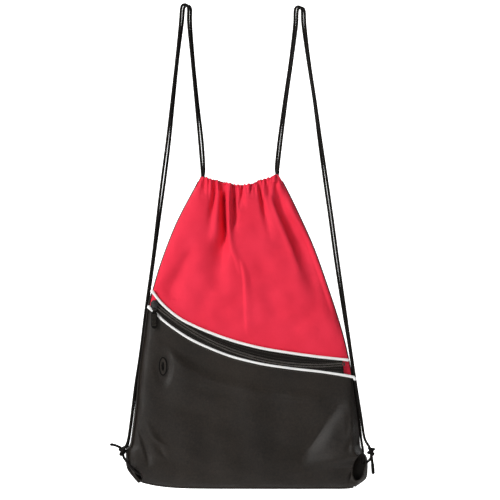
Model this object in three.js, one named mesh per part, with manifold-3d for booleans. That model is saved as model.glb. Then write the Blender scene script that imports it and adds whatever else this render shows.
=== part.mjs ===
// Drawstring backpack, hung by its two cord straps.
// Millimetres, +Z up, the front faces -Y. Heights below are measured from the bag's bottom edge,
// and the whole bag is lowered at the end so that the origin is between the tops of the two straps.
import * as THREE from 'three';
import { mergeVertices } from 'three/addons/utils/BufferGeometryUtils.js';
import Module from 'manifold-3d';

const wasm = await Module();
wasm.setup();

// ---------------------------------------------------------------- driving dimensions
const STRAP_TOP = 692;            // height of the peg under the strap loops
const CLOTH = 1.6;                // one lined and hemmed cloth layer
const GAP = 0.3;                  // gap between touching pieces

const FRONT_BACK_FACE = -11.2;    // Y of the red front panel's inner face
const POCKET_BACK_FACE = -14.6;   // Y of the pocket panel's inner face
const TAPE_BACK_FACE = -14.6;
const TAPE_THICKNESS = 0.8;
const COIL_BACK_FACE = -15.7;
const COIL_THICKNESS = 1.7;
const SEAM_FRONT = -10.9;         // seam allowance between the front and back panels
const SEAM_BACK = -5.8;
const BACK_EDGE_Y = -3.9;         // Y of the back panel's outer face along its seams
const BACK_DEPTH = 28;            // how far the back panel bulges behind its seams
const BACK_TOP_DEPTH = 13;        // the same at the gathered hem
const SEAM_WIDTH = 4;

const PANEL_BOTTOM = 1.5;
const SEAM_BOTTOM = 0;
const BOTTOM_SEAM_HEIGHT = 5.5;
const SIDE_SEAM_BOTTOM = 58;
const SIDE_SEAM_TOP = 426;
const POCKET_INSET = 0.8;

const PIPING_RADIUS = 1.8;
const PIPING_Y = -14.9;

// The zipper lies on an arc, so that the slider can be carried round the arc's centre.
const ARC_X = 95;
const ARC_Z = 527;
const ARC_R = 350;
const ARC_LEFT = -42;             // degrees from straight down
const ARC_RIGHT = 6.1;
const SLIDER_ANGLE = -41.6;
const COIL_INNER = 0.7;           // half the slit between the two coils
const COIL_OUTER = 2.5;

const CORD_RADIUS = 1.5;
const STRAND_Y = 1.8;             // the two strands of a strap lie this far before and behind its middle
const CHANNEL_Y = 8;              // the hem tunnels' distance from the middle plane
const LANE_Z = 2.1;               // the two cords run above each other in a tunnel

// ---------------------------------------------------------------- outlines, as [x, z]
const LEFT_EDGE = [[-141, 1.5], [-156.5, 9], [-162.5, 15], [-174, 31], [-173.5, 40], [-175, 48],
  [-174.2, 56], [-171, 60], [-169, 65], [-165, 93], [-161, 128], [-158.3, 165], [-150.8, 213],
  [-142.3, 262], [-138.8, 285], [-126.5, 328], [-106.5, 379], [-89.3, 413], [-74, 440]];
const RIGHT_EDGE = [[146, 1.5], [157, 9], [165, 16], [167, 28], [165.5, 46], [160.5, 52], [157, 60],
  [154.3, 89], [149.2, 131], [143.6, 170], [133.6, 216], [123.6, 250], [109.3, 293], [90.7, 345],
  [67.9, 396], [50.7, 431], [45, 440]];
const HEM_LINE = [[-56, 438.5], [-40, 434.5], [-24, 431.5], [-8, 429.7], [8, 432.5], [22, 438], [33, 442]];
const UPPER_PIPING = [[-141.4, 284.5], [-126.6, 265.7], [-104, 246.4], [-81, 233.9], [-35, 215.6],
  [10, 203.1], [56, 195.1], [101, 189], [140, 184.9]];
const LOWER_PIPING = [[-143.2, 262], [-134.6, 251.6], [-126.6, 243], [-104, 225.9], [-81, 212.1],
  [-35, 192.4], [10, 180.3], [56, 173], [101, 167.9], [144, 160.8]];

const PORT_CENTRE = [-125, 176];
const RIGHT_OPENING = { x: 156.5, z: 33.5, a: 8.3, b: 18.3, turn: 0 };
const LEFT_OPENING = { x: -159.6, z: 22.6, a: 10.5, b: 2.8, turn: -51.5 };

// ---------------------------------------------------------------- cord routes, as [x, y, z]
// A strap is two strands of one cord side by side: [x, y, z, half the spread in x].
const LEFT_OUTER_LEG = [[-174.3, -7.5, 72, 0.5], [-169, -7.5, 110, 0.5], [-164, -7.2, 150, 0.5],
  [-157.2, -7, 194, 0.6], [-148.4, -6.5, 262, 0.9], [-139.3, -6, 328, 1], [-130.7, -5, 396, 1.8],
  [-125, -4.4, 440, 2.2], [-117.9, -3.2, 496, 2], [-111.4, -2, 556, 1.5], [-105, -0.8, 616, 1.1],
  [-98.9, 0, 670, 1.9]];
const LEFT_INNER_LEG = [[-87.4, 0, 670, 1.9], [-82.9, -0.8, 616, 1.3], [-77.1, -1, 556, 1.5],
  [-70.9, -1, 496, 2.2]];
const RIGHT_OUTER_LEG = [[161.2, -7.5, 71, 2.6], [156.6, -7.5, 104, 1.7], [150.7, -7.3, 145, 1],
  [143.6, -7, 194, 0.8], [133.2, -6.5, 262, 1.6], [123.4, -6, 328, 2], [114.2, -5, 396, 2],
  [107.9, -4.4, 440, 2], [100, -3.2, 496, 1.6], [92, -2, 556, 1], [82.9, -0.8, 616, 1.2],
  [76.4, 0, 668, 1.9]];
const RIGHT_INNER_LEG = [[64.9, 0, 668, 1.9], [58.6, -0.8, 616, 1.5], [50, -1, 556, 1.6],
  [42.1, -1, 496, 2]];
const LEFT_LOOP = { x: -92.4, z: 688.6, lift: 0.7 };
const RIGHT_LOOP = { x: 70.6, z: 685.6, lift: -0.9 };
const LOOP_RADIUS = 4.9;
const LOOP_SPREAD = 1.9;          // the two strands' loops are this far to each side of the middle

const LEFT_KNOT = { x: -182.5, y: -9, z: 55, rx: 6.3, ry: 5, rz: 7.5 };
const RIGHT_KNOT = { x: 172.6, y: -9, z: 54, rx: 5.5, ry: 5, rz: 7 };
const LEFT_KNOT_START = [[-177.4, -9.4, 63.2]];
const RIGHT_KNOT_START = [[169, -9.4, 62]];
const LEFT_CORNER_PASS = [[-175.8, -2.6, 63], [-176.9, -1.2, 55], [-176.9, -3, 44], [-176.4, -6.8, 36],
  [-174, -8.3, 29.5], [-167, -8.4, 25], [-161.6, -9.5, 22.8], [-159.6, -13.5, 22.4],
  [-160.6, -18.2, 23.2], [-165, -20.6, 27], [-172, -19.2, 34], [-178.5, -14.5, 42], [-181.5, -10.4, 46.2]];
const RIGHT_CORNER_PASS = [[159.8, -11.5, 62], [160.3, -17.3, 58], [160.3, -19.8, 51], [159.8, -17.5, 42.5],
  [159.8, -12, 37.8], [162, -8.7, 37], [166.5, -8.5, 38.5], [170.4, -8.7, 42], [172.2, -9, 45.6]];
const LEFT_TAIL = [[-188.6, -9, 60.4], [-192, -9.4, 62.2], [-196, -9.8, 63.4], [-200, -10, 64]];
const RIGHT_TAIL = [[172.9, -11.6, 47.2], [173.6, -12, 42], [174.4, -12.2, 36]];
const TIP_RADIUS = 1.9;
const RIGHT_TIP = [[174.5, -12.2, 35.7], [175.4, -12.2, 22.5]];

// ---------------------------------------------------------------- helpers
const vec2 = ([x, z]) => new THREE.Vector2(x, z);
const vec3 = ([x, y, z]) => new THREE.Vector3(x, y, z);
const radians = THREE.MathUtils.degToRad;
const smooth = (points, count) => new THREE.SplineCurve(points.map(vec2)).getPoints(count);

function across(line, height) {
  const next = line.findIndex((point) => point.y >= height);
  if (next < 1) return (next < 0 ? line[line.length - 1] : line[0]).x;
  const [low, high] = [line[next - 1], line[next]];
  return THREE.MathUtils.mapLinear(height, low.y, high.y, low.x, high.x);
}

function shifted(line, distance) {
  return line.map((point, i) => {
    const next = line[Math.min(i + 1, line.length - 1)];
    const along = next.clone().sub(line[Math.max(i - 1, 0)]).normalize();
    return new THREE.Vector2(point.x - along.y * distance, point.y + along.x * distance);
  });
}

function ellipse({ x, z, a, b, turn }, grow = 0, count = 32) {
  return Array.from({ length: count }, (_, i) => {
    const angle = (i / count) * 2 * Math.PI;
    const point = new THREE.Vector2((a + grow) * Math.cos(angle), (b + grow) * Math.sin(angle));
    return point.rotateAround(new THREE.Vector2(), radians(turn)).add(new THREE.Vector2(x, z));
  });
}

// A flat plate of an X-Z outline, from one Y to another.
function plate(outline, frontY, backY, holes = []) {
  const shape = new THREE.Shape(outline);
  shape.holes = holes.map((hole) => new THREE.Path(hole));
  const geometry = new THREE.ExtrudeGeometry(shape, { depth: backY - frontY, bevelEnabled: false });
  return geometry.rotateX(Math.PI / 2).translate(0, backY, 0);
}

// A curve that passes through its points with one step for each span.
class Route extends THREE.CatmullRomCurve3 {
  getUtoTmapping(u) {
    return u;
  }
}

function sweep(points, section) {
  const steps = points.length - 1;
  const shape = new THREE.Shape(section);
  const path = new Route(points, false, 'centripetal');
  return new THREE.ExtrudeGeometry(shape, { steps, bevelEnabled: false, extrudePath: path });
}

const TUBE_SIDES = 8;
const ring = (radius, sides) => ellipse({ x: 0, z: 0, a: radius, b: radius, turn: 0 }, 0, sides);
const tube = (points, radius) => sweep(points, ring(radius, TUBE_SIDES));
const inPlane = (line, y) => line.map((point) => new THREE.Vector3(point.x, y, point.y));

function solid(geometry) {
  geometry.deleteAttribute('normal');
  geometry.deleteAttribute('uv');
  const merged = mergeVertices(geometry, 1e-4);
  const vertProperties = new Float32Array(merged.attributes.position.array);
  const triVerts = new Uint32Array(merged.index.array);
  return new wasm.Manifold(new wasm.Mesh({ numProp: 3, vertProperties, triVerts }));
}

function surface(manifold) {
  const mesh = manifold.getMesh();
  const geometry = new THREE.BufferGeometry();
  geometry.setAttribute('position', new THREE.BufferAttribute(mesh.vertProperties, 3));
  geometry.setIndex(new THREE.BufferAttribute(mesh.triVerts, 1));
  geometry.computeVertexNormals();
  return geometry;
}

const join = (...geometries) => surface(geometries.map(solid).reduce((all, next) => all.add(next)));
const cut = (geometry, tool) => surface(solid(geometry).subtract(solid(tool)));

// A closed sheet between two grids of points of the same size.
function sheetBody(outer, inner) {
  const rows = outer.length;
  const columns = outer[0].length;
  const position = [...outer.flat(), ...inner.flat()].flatMap((point) => point.toArray());
  const index = [];
  const at = (side, row, column) => (side * rows + row) * columns + column;
  const quad = (a, b, c, d) => index.push(a, b, c, a, c, d);
  const right = columns - 1;
  const top = rows - 1;
  for (let r = 0; r < top; r += 1) {
    for (let c = 0; c < right; c += 1) {
      quad(at(0, r, c), at(0, r + 1, c), at(0, r + 1, c + 1), at(0, r, c + 1));
      quad(at(1, r, c), at(1, r, c + 1), at(1, r + 1, c + 1), at(1, r + 1, c));
    }
    quad(at(0, r, 0), at(1, r, 0), at(1, r + 1, 0), at(0, r + 1, 0));
    quad(at(0, r, right), at(0, r + 1, right), at(1, r + 1, right), at(1, r, right));
  }
  for (let c = 0; c < right; c += 1) {
    quad(at(0, 0, c), at(0, 0, c + 1), at(1, 0, c + 1), at(1, 0, c));
    quad(at(0, top, c), at(1, top, c), at(1, top, c + 1), at(0, top, c + 1));
  }
  const geometry = new THREE.BufferGeometry();
  geometry.setAttribute('position', new THREE.Float32BufferAttribute(position, 3));
  geometry.setIndex(index);
  geometry.computeVertexNormals();
  return geometry;
}

const bag = new THREE.Group();
const looks = {
  redCloth: { color: 0xe8405a, roughness: 0.75, metalness: 0 },
  blackCloth: { color: 0x2c2724, roughness: 0.8, metalness: 0 },
  piping: { color: 0xf2f2f0, roughness: 0.6, metalness: 0 },
  zipperTape: { color: 0x1c1917, roughness: 0.8, metalness: 0 },
  zipperCoil: { color: 0x2a2625, roughness: 0.45, metalness: 0 },
  sliderMetal: { color: 0x1a1817, roughness: 0.35, metalness: 0.6 },
  rubber: { color: 0x0c0b0a, roughness: 0.55, metalness: 0 },
  cord: { color: 0x120f0e, roughness: 0.7, metalness: 0 },
};

function add(name, geometry, look) {
  const mesh = new THREE.Mesh(geometry, new THREE.MeshStandardMaterial(looks[look]));
  mesh.name = name;
  bag.add(mesh);
}

// ---------------------------------------------------------------- shared lines
const leftEdge = smooth(LEFT_EDGE, 54);
const rightEdge = smooth(RIGHT_EDGE, 48);
const hemLine = smooth(HEM_LINE, 12);
const upperPiping = smooth(UPPER_PIPING, 24);
const lowerPiping = smooth(LOWER_PIPING, 27);
const between = (line, low, high) => line.filter((point) => point.y > low && point.y < high);
const insetBy = (line, distance) => line.map((point) => new THREE.Vector2(point.x + distance, point.y));

// ---------------------------------------------------------------- cloth panels
const TUNNEL_HALF_HEIGHT = 5.5;
const PANEL_TOP_DROP = TUNNEL_HALF_HEIGHT + 0.5;
const POCKET_SIDE_DROP = 1;       // the pocket's sides end this far below its top corners

function panelOutline() {
  const top = shifted(hemLine, -PANEL_TOP_DROP);
  const topLeft = top[0].y;
  const topRight = top[top.length - 1].y;
  const left = between(leftEdge, 0, topLeft);
  return [...between(rightEdge, 0, topRight), ...top.reverse(), ...left.reverse()];
}

function pocketOutline() {
  const top = shifted(lowerPiping, -(PIPING_RADIUS + GAP));
  const leftTop = top[0].y - POCKET_SIDE_DROP;
  const rightTop = top[top.length - 1].y - POCKET_SIDE_DROP;
  const left = between(insetBy(leftEdge, POCKET_INSET), 0, leftTop);
  const right = between(insetBy(rightEdge, -POCKET_INSET), 0, rightTop);
  const inside = (point) => point.x > across(leftEdge, point.y) && point.x < across(rightEdge, point.y);
  return [...right, ...top.filter(inside).reverse(), ...left.reverse()];
}

const PORT_CUT = { x: PORT_CENTRE[0], z: PORT_CENTRE[1], a: 5.2, b: 10.7, turn: 0 };

add('front_panel', plate(panelOutline(), FRONT_BACK_FACE - CLOTH, FRONT_BACK_FACE,
  [ellipse(RIGHT_OPENING), ellipse(LEFT_OPENING)]), 'redCloth');
add('pocket_panel', plate(pocketOutline(), POCKET_BACK_FACE - CLOTH, POCKET_BACK_FACE,
  [ellipse(RIGHT_OPENING), ellipse(LEFT_OPENING), ellipse(PORT_CUT)]), 'blackCloth');

// The back panel is flat in its middle and rounds to its seams like a soft pillow.
const FLAT_SHARE = 0.5;
const BACK_TOP = 423.5;
const BACK_ROWS = [1.5, 9, 16, 28, 46, 52, 60, 75, 90, 120, 160, 200, 240, 280, 320, 360, 395, BACK_TOP];
const BACK_SIDE_COLUMNS = [0.25, 0.5, 0.62, 0.74, 0.86, 0.94, 1];
const BACK_COLUMNS = [...BACK_SIDE_COLUMNS.map((share) => -share).reverse(), 0, ...BACK_SIDE_COLUMNS];
const FULL_FROM = 90;             // the bulge is at its full depth between these heights
const FULL_TO = 200;

function depthAt(height) {
  const risen = (height - PANEL_BOTTOM) / (FULL_FROM - PANEL_BOTTOM);
  if (height < FULL_FROM) return BACK_DEPTH * Math.sin(risen * Math.PI / 2);
  if (height < FULL_TO) return BACK_DEPTH;
  return THREE.MathUtils.mapLinear(height, FULL_TO, BACK_TOP, BACK_DEPTH, BACK_TOP_DEPTH);
}

function roundOff(share) {
  const beyond = Math.max(0, (Math.abs(share) - FLAT_SHARE) / (1 - FLAT_SHARE));
  return Math.cos(beyond * Math.PI / 2);
}

function backGrid(offset) {
  return BACK_ROWS.map((height) => {
    const left = across(leftEdge, height);
    const right = across(rightEdge, height);
    return BACK_COLUMNS.map((share) => {
      const x = THREE.MathUtils.mapLinear(share, -1, 1, left, right);
      return new THREE.Vector3(x, BACK_EDGE_Y + depthAt(height) * roundOff(share) - offset, height);
    });
  });
}

add('back_panel', sheetBody(backGrid(0), backGrid(CLOTH)), 'blackCloth');

// ---------------------------------------------------------------- seams
function sideSeam(edge, inward) {
  const line = between(edge, SIDE_SEAM_BOTTOM, SIDE_SEAM_TOP);
  return plate([...line, ...insetBy(line, inward * SEAM_WIDTH).reverse()], SEAM_FRONT, SEAM_BACK);
}

add('left_side_seam', sideSeam(insetBy(leftEdge, GAP), 1), 'blackCloth');
add('right_side_seam', sideSeam(insetBy(rightEdge, -GAP), -1), 'blackCloth');

const BOTTOM_SEAM = [[-139, SEAM_BOTTOM], [144, SEAM_BOTTOM],
  [148, BOTTOM_SEAM_HEIGHT], [-144, BOTTOM_SEAM_HEIGHT]];
add('bottom_seam', plate(BOTTOM_SEAM.map(vec2), SEAM_FRONT, SEAM_BACK), 'blackCloth');

// ---------------------------------------------------------------- hem tunnels for the cords
const TUNNEL_HALF_DEPTH = 3.5;
const TUNNEL_WALL = 1.2;
const TUNNEL_CORNER = 1;

// A rectangle with its corners cut off.
function chamfered(a, b) {
  const [inA, inB] = [a - TUNNEL_CORNER, b - TUNNEL_CORNER];
  return [[-a, -inB], [-inA, -b], [inA, -b], [a, -inB], [a, inB], [inA, b], [-inA, b], [-a, inB]].map(vec2);
}

function tunnel(y) {
  const path = inPlane(hemLine, y);
  const last = path.length - 1;
  const before = path[0].clone().multiplyScalar(2).sub(path[1]);
  const after = path[last].clone().multiplyScalar(2).sub(path[last - 1]);
  const outer = sweep(path, chamfered(TUNNEL_HALF_DEPTH, TUNNEL_HALF_HEIGHT));
  const inner = sweep([before, ...path, after],
    chamfered(TUNNEL_HALF_DEPTH - TUNNEL_WALL, TUNNEL_HALF_HEIGHT - TUNNEL_WALL));
  return cut(outer, inner);
}

add('front_hem_channel', tunnel(-CHANNEL_Y), 'redCloth');
add('back_hem_channel', tunnel(CHANNEL_Y), 'blackCloth');

// ---------------------------------------------------------------- pocket trim
add('upper_piping', tube(inPlane(upperPiping, PIPING_Y), PIPING_RADIUS), 'piping');
add('lower_piping', tube(inPlane(lowerPiping, PIPING_Y), PIPING_RADIUS), 'piping');

const onArc = (degrees, radius) => new THREE.Vector2(
  ARC_X + radius * Math.sin(radians(degrees)), ARC_Z - radius * Math.cos(radians(degrees)));

function arcLine(radius, from = ARC_LEFT, to = ARC_RIGHT, count = 24) {
  return Array.from({ length: count + 1 }, (_, i) => onArc(from + (to - from) * i / count, radius));
}

function tape(innerRadius, piping, side) {
  const edge = shifted(piping, side * (PIPING_RADIUS + GAP));
  const start = onArc(ARC_LEFT, ARC_R).x;
  const end = onArc(ARC_RIGHT, ARC_R).x;
  const outer = edge.filter((point) => point.x > start && point.x < end);
  const outline = [...arcLine(innerRadius), ...outer.reverse()];
  return plate(outline, TAPE_BACK_FACE - TAPE_THICKNESS, TAPE_BACK_FACE);
}

const COIL_FRONT_FACE = COIL_BACK_FACE - COIL_THICKNESS;
const coil = (near, far) => plate([...arcLine(near), ...arcLine(far).reverse()],
  COIL_FRONT_FACE, COIL_BACK_FACE);

add('upper_zipper_tape', tape(ARC_R - COIL_INNER, upperPiping, -1), 'zipperTape');
add('lower_zipper_tape', tape(ARC_R + COIL_INNER, lowerPiping, 1), 'zipperTape');
add('upper_zipper_coil', coil(ARC_R - COIL_OUTER, ARC_R - COIL_INNER), 'zipperCoil');
add('lower_zipper_coil', coil(ARC_R + COIL_INNER, ARC_R + COIL_OUTER), 'zipperCoil');

// The end stop is a small clamp across both coils, just past their right end.
const STOP_FROM = ARC_RIGHT + 0.08;
const STOP_TO = ARC_RIGHT + 0.45;
const stopOutline = [...arcLine(ARC_R - COIL_OUTER, STOP_FROM, STOP_TO, 2),
  ...arcLine(ARC_R + COIL_OUTER, STOP_FROM, STOP_TO, 2).reverse()];
add('zipper_end_stop', plate(stopOutline, COIL_FRONT_FACE, COIL_BACK_FACE), 'sliderMetal');

// ---------------------------------------------------------------- zipper slider and its pull
// The slider is drawn along X and Z about its own middle, then turned to the arc's direction.
const sliderPlace = onArc(SLIDER_ANGLE, ARC_R);
const SLIDER_TOP_PLATE = [-18.6, -17.7];
const SLIDER_BOTTOM_PLATE = [-14.2, -13.4];
const SLIDER_HALF_LENGTH = 5;
const SLIDER_HALF_WIDTH = 4.1;
const SLIDER_NOSE = 2.6;          // half the width of the plates' ends
const SLIDER_WAIST = 3;           // the plates are at full width this far each side of the middle
const FLANGE_THICKNESS = 1.1;
const FLANGE_BACK = -16;
const POST = [-4.4, -1.6];        // the post that joins the plates, along the slider
const POST_HALF_WIDTH = 0.4;
const STUD_RADIUS = 1.5;
const STUD_HEAD_RADIUS = 2.5;
const STUD_HEAD = [-21.2, -20.5];
const LINK_FACES = [-20.2, -19];
const OVERLAP = 0.2;              // joined pieces run this far into each other
const ROUND_SIDES = 16;

const box = (x0, x1, frontY, backY, z0, z1) => new THREE.BoxGeometry(x1 - x0, backY - frontY, z1 - z0)
  .translate((x0 + x1) / 2, (frontY + backY) / 2, (z0 + z1) / 2);

function sliderBody() {
  const rightHalf = [[SLIDER_WAIST, -SLIDER_HALF_WIDTH], [SLIDER_HALF_LENGTH, -SLIDER_NOSE],
    [SLIDER_HALF_LENGTH, SLIDER_NOSE], [SLIDER_WAIST, SLIDER_HALF_WIDTH]];
  const outline = [...rightHalf, ...rightHalf.map(([x, z]) => [-x, -z])].map(vec2);
  const [topFront, topBack] = SLIDER_TOP_PLATE;
  const [bottomFront, bottomBack] = SLIDER_BOTTOM_PLATE;
  const from = topBack - OVERLAP;
  const flangeInner = SLIDER_HALF_WIDTH - FLANGE_THICKNESS;
  const parts = [
    plate(outline, topFront, topBack),
    plate(outline, bottomFront, bottomBack),
    box(...POST, from, bottomFront + OVERLAP, -POST_HALF_WIDTH, POST_HALF_WIDTH),
    box(-SLIDER_WAIST, SLIDER_WAIST, from, FLANGE_BACK, flangeInner, SLIDER_HALF_WIDTH),
    box(-SLIDER_WAIST, SLIDER_WAIST, from, FLANGE_BACK, -SLIDER_HALF_WIDTH, -flangeInner),
    plate(ring(STUD_RADIUS, ROUND_SIDES), STUD_HEAD[1] - OVERLAP, topFront + OVERLAP),
    plate(ring(STUD_HEAD_RADIUS, ROUND_SIDES), ...STUD_HEAD),
  ];
  return join(...parts);
}

const slider = sliderBody().rotateY(radians(-SLIDER_ANGLE)).translate(sliderPlace.x, 0, sliderPlace.y);
add('zipper_slider', slider, 'sliderMetal');

const PULL_PIVOT_DROP = 8.4;      // the pull's bar below the slider's stud
const BAR_HALF = 0.55;
const LINK_HALF_WIDTH = 3.3;
const LINK_CORNER = 2.3;          // the link's round top, at 45 degrees
const LINK_WINDOW_HALF_WIDTH = 2.3;
const LINK_WINDOW_HEIGHT = 3.2;   // from the bar's middle to the top of the window

function linkBody() {
  const end = -PULL_PIVOT_DROP - BAR_HALF;
  const outline = [[-LINK_HALF_WIDTH, 0], [-LINK_CORNER, LINK_CORNER], [0, LINK_HALF_WIDTH],
    [LINK_CORNER, LINK_CORNER], [LINK_HALF_WIDTH, 0], [LINK_HALF_WIDTH, end], [-LINK_HALF_WIDTH, end]];
  const low = -PULL_PIVOT_DROP + BAR_HALF;
  const high = -PULL_PIVOT_DROP + LINK_WINDOW_HEIGHT;
  const side = LINK_WINDOW_HALF_WIDTH;
  const window = [[-side, low], [side, low], [side, high], [-side, high]];
  const studHole = ring(STUD_RADIUS + GAP, ROUND_SIDES);
  return plate(outline.map(vec2), ...LINK_FACES, [studHole, window.map(vec2)]);
}

add('pull_link', linkBody().translate(sliderPlace.x, 0, sliderPlace.y), 'sliderMetal');

// The pull hooks over the link's bar with a small eye and hangs from it.
const PULL_HALF_WIDTH = 4.2;
const PULL_HALF_THICKNESS = 0.8;
const PULL_LENGTH = 27;
const EYE_RADIUS = 2.1;
const EYE_HOLE = 1.15;
const EYE_HALF_WIDTH = 1.8;

// One side of the pull's outline, from its eye down to its tip.
const PULL_SIDE = [[EYE_HALF_WIDTH, -1.75], [PULL_HALF_WIDTH - 0.8, -3.6], [PULL_HALF_WIDTH, -5.5],
  [PULL_HALF_WIDTH, 3 - PULL_LENGTH], [PULL_HALF_WIDTH - 1.6, 0.6 - PULL_LENGTH]];

function pullBody() {
  const eyeShape = new THREE.Shape(ring(EYE_RADIUS, ROUND_SIDES));
  eyeShape.holes = [new THREE.Path(ring(EYE_HOLE, ROUND_SIDES))];
  const eye = new THREE.ExtrudeGeometry(eyeShape, { depth: 2 * EYE_HALF_WIDTH, bevelEnabled: false });
  eye.rotateY(Math.PI / 2).translate(-EYE_HALF_WIDTH, 0, 0);
  const otherSide = PULL_SIDE.map(([x, z]) => [-x, z]).reverse();
  const outline = [...PULL_SIDE, [0, -PULL_LENGTH], ...otherSide].map(vec2);
  return join(eye, plate(outline, -PULL_HALF_THICKNESS, PULL_HALF_THICKNESS));
}

const linkMiddle = (LINK_FACES[0] + LINK_FACES[1]) / 2;
const pull = pullBody().translate(sliderPlace.x, linkMiddle, sliderPlace.y - PULL_PIVOT_DROP);
add('zipper_pull', pull, 'rubber');

// ---------------------------------------------------------------- earphone port
// The port is a flange outside the pocket and a sleeve through it, with a backing ring inside.
const PORT_FLANGE = [6, 14.2];
const PORT_SLEEVE = [4.9, 10.4];
const PORT_SLOT = [3.5, 9];
const BACKING_RING = [6, 13.4];
const TRIM_BACK_FACE = POCKET_BACK_FACE - CLOTH - GAP;
const portOval = ([a, b]) => ellipse({ ...PORT_CUT, a, b });
const portFlange = plate(portOval(PORT_FLANGE), -18, TRIM_BACK_FACE, [portOval(PORT_SLOT)]);
const portSleeve = plate(portOval(PORT_SLEEVE), -17, -13.6, [portOval(PORT_SLOT)]);
add('earphone_port', join(portFlange, portSleeve), 'rubber');
add('earphone_port_backing', plate(portOval(BACKING_RING), -14.3, -13.5, [ellipse(PORT_CUT)]), 'rubber');

// ---------------------------------------------------------------- corner openings for the cords
const BINDING_FRONT = -17.6;
const BINDING_WIDTH = 1.9;

function binding(opening) {
  return plate(ellipse(opening, BINDING_WIDTH), BINDING_FRONT, TRIM_BACK_FACE, [ellipse(opening)]);
}

add('left_corner_binding', binding(LEFT_OPENING), 'blackCloth');
add('right_corner_binding', binding(RIGHT_OPENING), 'blackCloth');

// ---------------------------------------------------------------- cords
// side is -1 for the strand in front and to the left, 1 for the one behind and to the right.
function strand(leg, side, flip = 1) {
  return leg.map(([x, y, z, spread]) => [x + flip * side * spread, y + side * STRAND_Y, z]);
}

function loopTop(loop, side) {
  return [180, 135, 90, 45, 0].map((degrees) => [
    loop.x + side * LOOP_SPREAD + LOOP_RADIUS * Math.cos(radians(degrees)), side * STRAND_Y,
    loop.z - side * loop.lift + LOOP_RADIUS * Math.sin(radians(degrees))]);
}

const lane = (side, lift) => HEM_LINE.map(([x, z]) => [x, side * CHANNEL_Y, z + lift]);

// The cord turns from the front tunnel to the back one round the side of the gathered mouth.
function turnRound([x, z], lift, direction) {
  return [-45, 0, 45].map((degrees) => [x + direction * CHANNEL_Y * Math.cos(radians(degrees)),
    CHANNEL_Y * Math.sin(radians(degrees)), z + lift]);
}

const hemLeft = HEM_LINE[0];
const hemRight = HEM_LINE[HEM_LINE.length - 1];

const leftRoute = [
  ...LEFT_KNOT_START,
  ...strand(LEFT_OUTER_LEG, -1),
  ...loopTop(LEFT_LOOP, -1),
  ...strand(LEFT_INNER_LEG, -1),
  [-69.6, -7, 456], [-68.6, -8, 446.5], [-65.5, -8, 439.5],
  ...lane(-1, -LANE_Z),
  ...turnRound(hemRight, -LANE_Z, 1),
  ...lane(1, -LANE_Z).reverse(),
  [-65.5, 8, 439.5], [-67.6, 8, 446.5], [-66.6, 7, 456],
  ...strand(LEFT_INNER_LEG, 1).reverse(),
  ...loopTop(LEFT_LOOP, 1).reverse(),
  ...strand(LEFT_OUTER_LEG, 1).reverse(),
  ...LEFT_CORNER_PASS,
];

const rightRoute = [
  ...RIGHT_KNOT_START,
  ...strand(RIGHT_OUTER_LEG, -1, -1),
  ...loopTop(RIGHT_LOOP, -1).map(([x, y, z]) => [2 * RIGHT_LOOP.x - x, y, z]),
  ...strand(RIGHT_INNER_LEG, -1, -1),
  [39.6, -7, 458], [38.6, -8, 449.5],
  ...lane(-1, LANE_Z).reverse(),
  ...turnRound(hemLeft, LANE_Z, -1),
  ...lane(1, LANE_Z),
  [37.4, 8, 449.5], [36.6, 7, 458],
  ...strand(RIGHT_INNER_LEG, 1, -1).reverse(),
  ...loopTop(RIGHT_LOOP, 1).map(([x, y, z]) => [2 * RIGHT_LOOP.x - x, y, z]).reverse(),
  ...strand(RIGHT_OUTER_LEG, 1, -1).reverse(),
  ...RIGHT_CORNER_PASS,
];

add('left_cord', tube(leftRoute.map(vec3), CORD_RADIUS), 'cord');
add('right_cord', tube(rightRoute.map(vec3), CORD_RADIUS), 'cord');

function knot({ x, y, z, rx, ry, rz }) {
  return new THREE.SphereGeometry(1, 14, 10).scale(rx, ry, rz).translate(x, y, z);
}

add('left_knot', knot(LEFT_KNOT), 'cord');
add('right_knot', knot(RIGHT_KNOT), 'cord');
add('left_cord_tail', tube(LEFT_TAIL.map(vec3), CORD_RADIUS), 'cord');
add('right_cord_tail', tube(RIGHT_TAIL.map(vec3), CORD_RADIUS), 'cord');
add('right_cord_tip', tube(RIGHT_TIP.map(vec3), TIP_RADIUS), 'rubber');

bag.position.set(0, 0, -STRAP_TOP);

export default bag;
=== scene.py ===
"""Drawstring backpack: the looks. Shapes are given in millimetres, with heights from the bag's
bottom edge, and place() turns them into the frame's metres."""
import math
import random

import bpy
import numpy as np
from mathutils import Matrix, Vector


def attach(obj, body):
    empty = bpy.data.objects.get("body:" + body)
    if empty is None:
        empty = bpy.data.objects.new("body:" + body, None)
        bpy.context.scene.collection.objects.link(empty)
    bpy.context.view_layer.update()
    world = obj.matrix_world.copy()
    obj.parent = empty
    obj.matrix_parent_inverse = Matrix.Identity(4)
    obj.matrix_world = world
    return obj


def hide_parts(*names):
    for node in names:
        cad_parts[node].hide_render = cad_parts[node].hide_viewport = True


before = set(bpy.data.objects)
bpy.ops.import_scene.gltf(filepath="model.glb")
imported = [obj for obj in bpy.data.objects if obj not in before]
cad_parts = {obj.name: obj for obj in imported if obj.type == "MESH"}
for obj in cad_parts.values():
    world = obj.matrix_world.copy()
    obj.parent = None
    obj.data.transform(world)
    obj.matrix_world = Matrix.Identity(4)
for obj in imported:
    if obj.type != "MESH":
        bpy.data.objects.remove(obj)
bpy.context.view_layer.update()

BODY = "bag"
STRAP_TOP = 692.0          # height of the strap loops' inner tops, the frame's origin
FIELD = 714.3              # width of the camera's view at the bag
CAMERA_DISTANCE = 4.0      # in metres
CAMERA_HEIGHT = 342.1
FRONT_Y = -15.0            # the zipper's plane

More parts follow.
